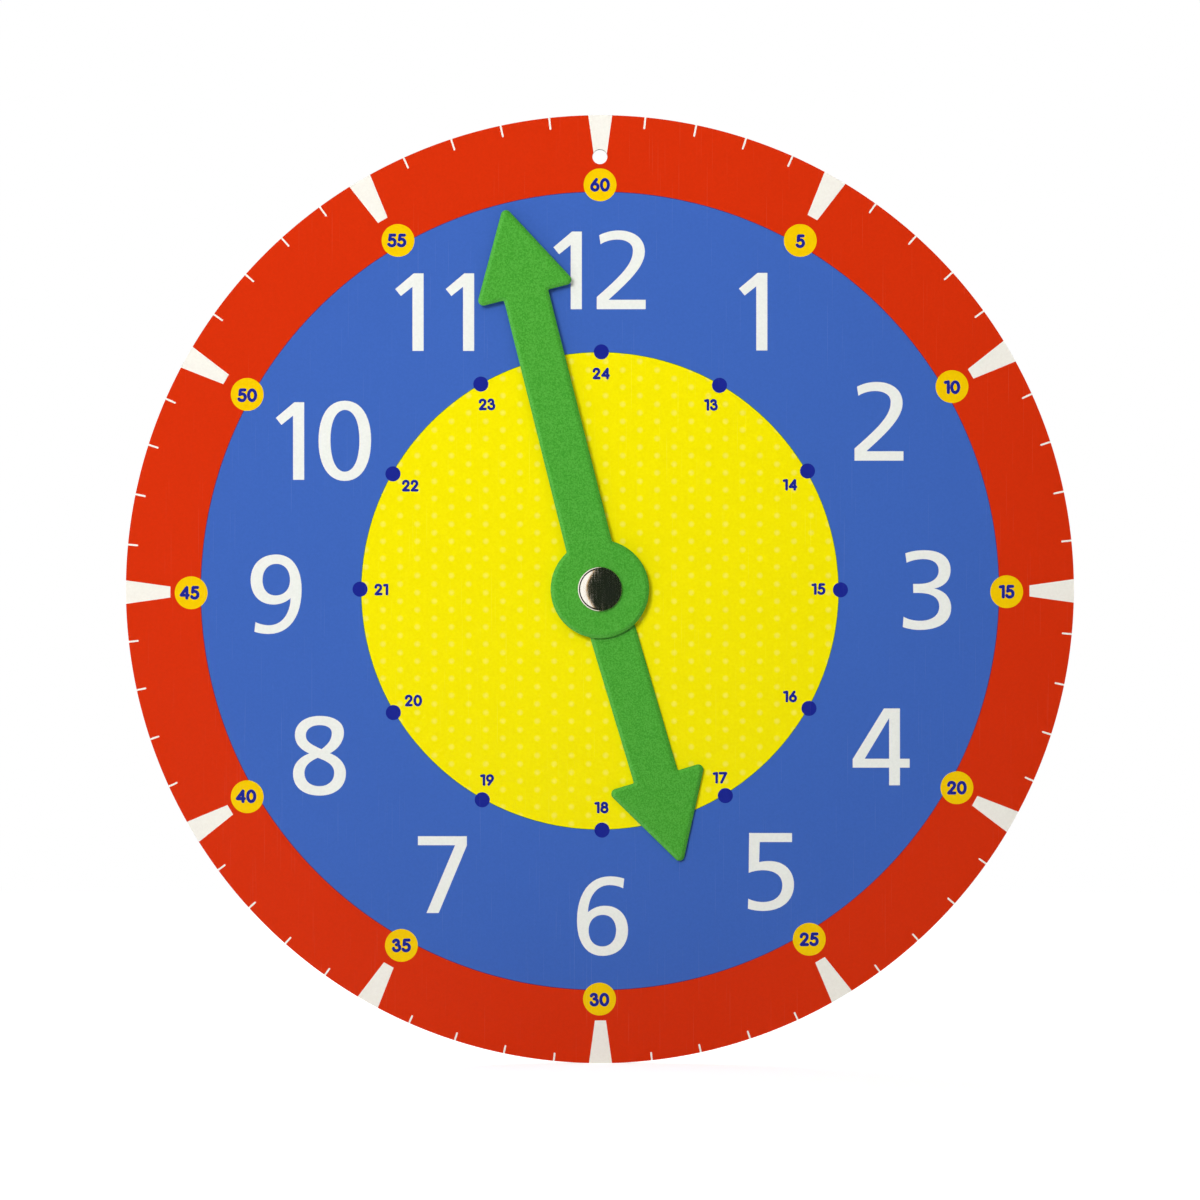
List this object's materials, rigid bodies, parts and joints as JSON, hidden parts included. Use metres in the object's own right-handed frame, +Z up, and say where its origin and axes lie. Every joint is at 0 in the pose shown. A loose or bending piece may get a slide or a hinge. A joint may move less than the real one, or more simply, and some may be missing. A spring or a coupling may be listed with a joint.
{
  "type": "teaching clock",
  "caption": "Round card teaching clock with a colour-ringed dial and two arrow hands turning on one double-cap rivet.",
  "frame": {"origin": "on the hanging hole's axis, at the dial's back face", "axes": "+Z up towards 12 o'clock as it hangs, +X towards 3 o'clock, -Y out of the printed face, +Y towards the wall"},
  "size_m": [0.21, 0.009, 0.21],
  "materials": {
    "greyboard": "matte",
    "printed_film": "satin",
    "liner_paper": "matte",
    "washer_plastic": "matte",
    "hand_plastic": "matte",
    "nickel_plate": "polished"
  },
  "bodies": {
    "dial": {"board_core": "greyboard", "dial_sheet": "printed_film", "back_sheet": "liner_paper", "hour_washer": "washer_plastic", "minute_washer": "washer_plastic", "front_cap": "nickel_plate", "front_socket": "nickel_plate", "rear_post": "nickel_plate", "rear_cap": "nickel_plate"},
    "hour": {"hour_hand": "hand_plastic"},
    "minute": {"minute_hand": "hand_plastic"}
  },
  "joints": [
    {"name": "hour_hand_turn", "type": "hinge", "parent": "dial", "child": "hour", "pos_m": [0, -0.0032, -0.0958], "axis": [0, 1, 0], "continuous": true},
    {"name": "minute_hand_turn", "type": "hinge", "parent": "dial", "child": "minute", "pos_m": [0, -0.00465, -0.0958], "axis": [0, 1, 0], "continuous": true}
  ]
}
